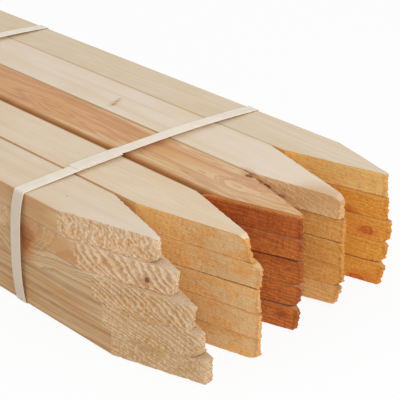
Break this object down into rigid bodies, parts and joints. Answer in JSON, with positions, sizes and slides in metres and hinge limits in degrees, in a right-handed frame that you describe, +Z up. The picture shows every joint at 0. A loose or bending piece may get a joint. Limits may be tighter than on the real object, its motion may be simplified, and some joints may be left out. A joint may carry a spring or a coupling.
{
  "type": "survey stake bundle",
  "caption": "Strapped bundle of flat sawn-timber survey stakes, stacked in layers with their blunt points together at one end; each stake draws out lengthwise from the plastic straps.",
  "frame": {"origin": "under the middle of the bundle's length and width, on the surface that the undersides of the straps lie on", "axes": "+Y along the stakes from their points to their heads, +Z up through the layers, +X across the columns from left to right as seen from the points' end"},
  "size_m": [0.265, 0.6666, 0.1024],
  "materials": {
    "pale_softwood": "planed faces, rough sawn bevels, pale cream",
    "honey_softwood": "planed faces, rough sawn bevels, honey",
    "red_softwood": "planed faces, rough sawn bevels, red heartwood",
    "tan_softwood": "planed faces, rough sawn bevels, tan",
    "golden_softwood": "planed faces, rough sawn bevels, golden",
    "strap_plastic": "embossed satin polypropylene band, off white"
  },
  "bodies": {
    "strapping": {"front_strap": "strap_plastic", "rear_strap": "strap_plastic"},
    "stake_layer1_column1": {"stake_layer1_column1": "pale_softwood"},
    "stake_layer1_column2": {"stake_layer1_column2": "honey_softwood"},
    "stake_layer1_column3": {"stake_layer1_column3": "red_softwood"},
    "stake_layer1_column4": {"stake_layer1_column4": "tan_softwood"},
    "stake_layer1_column5": {"stake_layer1_column5": "golden_softwood"},
    "stake_layer2_column1": {"stake_layer2_column1": "pale_softwood"},
    "stake_layer2_column2": {"stake_layer2_column2": "honey_softwood"},
    "stake_layer2_column3": {"stake_layer2_column3": "red_softwood"},
    "stake_layer2_column4": {"stake_layer2_column4": "tan_softwood"},
    "stake_layer2_column5": {"stake_layer2_column5": "golden_softwood"},
    "stake_layer3_column1": {"stake_layer3_column1": "pale_softwood"},
    "stake_layer3_column2": {"stake_layer3_column2": "honey_softwood"},
    "stake_layer3_column3": {"stake_layer3_column3": "red_softwood"},
    "stake_layer3_column4": {"stake_layer3_column4": "tan_softwood"},
    "stake_layer3_column5": {"stake_layer3_column5": "golden_softwood"},
    "stake_layer4_column1": {"stake_layer4_column1": "pale_softwood"},
    "stake_layer4_column2": {"stake_layer4_column2": "honey_softwood"},
    "stake_layer4_column3": {"stake_layer4_column3": "red_softwood"},
    "stake_layer4_column4": {"stake_layer4_column4": "tan_softwood"},
    "stake_layer4_column5": {"stake_layer4_column5": "golden_softwood"},
    "stake_layer5_column1": {"stake_layer5_column1": "pale_softwood"},
    "stake_layer5_column2": {"stake_layer5_column2": "honey_softwood"},
    "stake_layer5_column3": {"stake_layer5_column3": "red_softwood"},
    "stake_layer5_column4": {"stake_layer5_column4": "tan_softwood"},
    "stake_layer5_column5": {"stake_layer5_column5": "golden_softwood"}
  },
  "joints": [
    {"name": "stake_layer1_column1_slide", "type": "slide", "parent": "strapping", "child": "stake_layer1_column1", "axis": [0, 1, 0], "range_m": [0, 0.49]},
    {"name": "stake_layer1_column2_slide", "type": "slide", "parent": "strapping", "child": "stake_layer1_column2", "axis": [0, 1, 0], "range_m": [0, 0.49]},
    {"name": "stake_layer1_column3_slide", "type": "slide", "parent": "strapping", "child": "stake_layer1_column3", "axis": [0, 1, 0], "range_m": [0, 0.49]},
    {"name": "stake_layer1_column4_slide", "type": "slide", "parent": "strapping", "child": "stake_layer1_column4", "axis": [0, 1, 0], "range_m": [0, 0.49]},
    {"name": "stake_layer1_column5_slide", "type": "slide", "parent": "strapping", "child": "stake_layer1_column5", "axis": [0, 1, 0], "range_m": [0, 0.49]},
    {"name": "stake_layer2_column1_slide", "type": "slide", "parent": "strapping", "child": "stake_layer2_column1", "axis": [0, 1, 0], "range_m": [0, 0.49]},
    {"name": "stake_layer2_column2_slide", "type": "slide", "parent": "strapping", "child": "stake_layer2_column2", "axis": [0, 1, 0], "range_m": [0, 0.49]},
    {"name": "stake_layer2_column3_slide", "type": "slide", "parent": "strapping", "child": "stake_layer2_column3", "axis": [0, 1, 0], "range_m": [0, 0.49]},
    {"name": "stake_layer2_column4_slide", "type": "slide", "parent": "strapping", "child": "stake_layer2_column4", "axis": [0, 1, 0], "range_m": [0, 0.49]},
    {"name": "stake_layer2_column5_slide", "type": "slide", "parent": "strapping", "child": "stake_layer2_column5", "axis": [0, 1, 0], "range_m": [0, 0.49]},
    {"name": "stake_layer3_column1_slide", "type": "slide", "parent": "strapping", "child": "stake_layer3_column1", "axis": [0, 1, 0], "range_m": [0, 0.49]},
    {"name": "stake_layer3_column2_slide", "type": "slide", "parent": "strapping", "child": "stake_layer3_column2", "axis": [0, 1, 0], "range_m": [0, 0.49]},
    {"name": "stake_layer3_column3_slide", "type": "slide", "parent": "strapping", "child": "stake_layer3_column3", "axis": [0, 1, 0], "range_m": [0, 0.49]},
    {"name": "stake_layer3_column4_slide", "type": "slide", "parent": "strapping", "child": "stake_layer3_column4", "axis": [0, 1, 0], "range_m": [0, 0.49]},
    {"name": "stake_layer3_column5_slide", "type": "slide", "parent": "strapping", "child": "stake_layer3_column5", "axis": [0, 1, 0], "range_m": [0, 0.49]},
    {"name": "stake_layer4_column1_slide", "type": "slide", "parent": "strapping", "child": "stake_layer4_column1", "axis": [0, 1, 0], "range_m": [0, 0.49]},
    {"name": "stake_layer4_column2_slide", "type": "slide", "parent": "strapping", "child": "stake_layer4_column2", "axis": [0, 1, 0], "range_m": [0, 0.49]},
    {"name": "stake_layer4_column3_slide", "type": "slide", "parent": "strapping", "child": "stake_layer4_column3", "axis": [0, 1, 0], "range_m": [0, 0.49]},
    {"name": "stake_layer4_column4_slide", "type": "slide", "parent": "strapping", "child": "stake_layer4_column4", "axis": [0, 1, 0], "range_m": [0, 0.49]},
    {"name": "stake_layer4_column5_slide", "type": "slide", "parent": "strapping", "child": "stake_layer4_column5", "axis": [0, 1, 0], "range_m": [0, 0.49]},
    {"name": "stake_layer5_column1_slide", "type": "slide", "parent": "strapping", "child": "stake_layer5_column1", "axis": [0, 1, 0], "range_m": [0, 0.49]},
    {"name": "stake_layer5_column2_slide", "type": "slide", "parent": "strapping", "child": "stake_layer5_column2", "axis": [0, 1, 0], "range_m": [0, 0.49]},
    {"name": "stake_layer5_column3_slide", "type": "slide", "parent": "strapping", "child": "stake_layer5_column3", "axis": [0, 1, 0], "range_m": [0, 0.49]},
    {"name": "stake_layer5_column4_slide", "type": "slide", "parent": "strapping", "child": "stake_layer5_column4", "axis": [0, 1, 0], "range_m": [0, 0.49]},
    {"name": "stake_layer5_column5_slide", "type": "slide", "parent": "strapping", "child": "stake_layer5_column5", "axis": [0, 1, 0], "range_m": [0, 0.49]}
  ]
}
